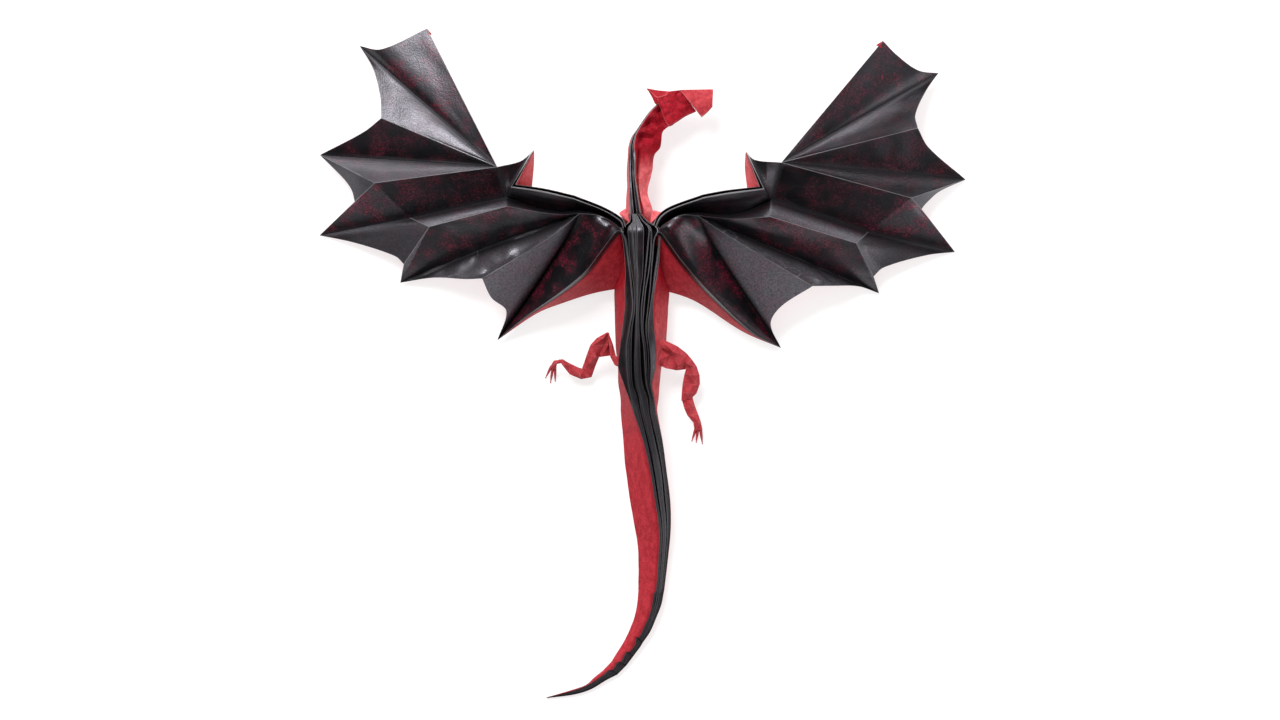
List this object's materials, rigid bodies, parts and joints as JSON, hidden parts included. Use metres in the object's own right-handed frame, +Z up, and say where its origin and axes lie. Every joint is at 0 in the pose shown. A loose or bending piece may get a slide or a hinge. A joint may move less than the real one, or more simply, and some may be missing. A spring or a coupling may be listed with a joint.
{
  "type": "folded paper dragon",
  "caption": "Dragon folded from one sheet of two-coloured paper: pleated body, curved neck, long tail, spread wings and hind legs, lying on its belly.",
  "frame": {"origin": "under the middle of the whole object, in the plane it lies on", "axes": "+Y from the tail towards the head, +X to the wing on the side the head is turned to, +Z up out of the layered back"},
  "size_m": [0.323, 0.334, 0.0429],
  "materials": {
    "paper": "satin"
  },
  "bodies": {
    "root": {"folded_dragon": "paper"}
  },
  "joints": []
}
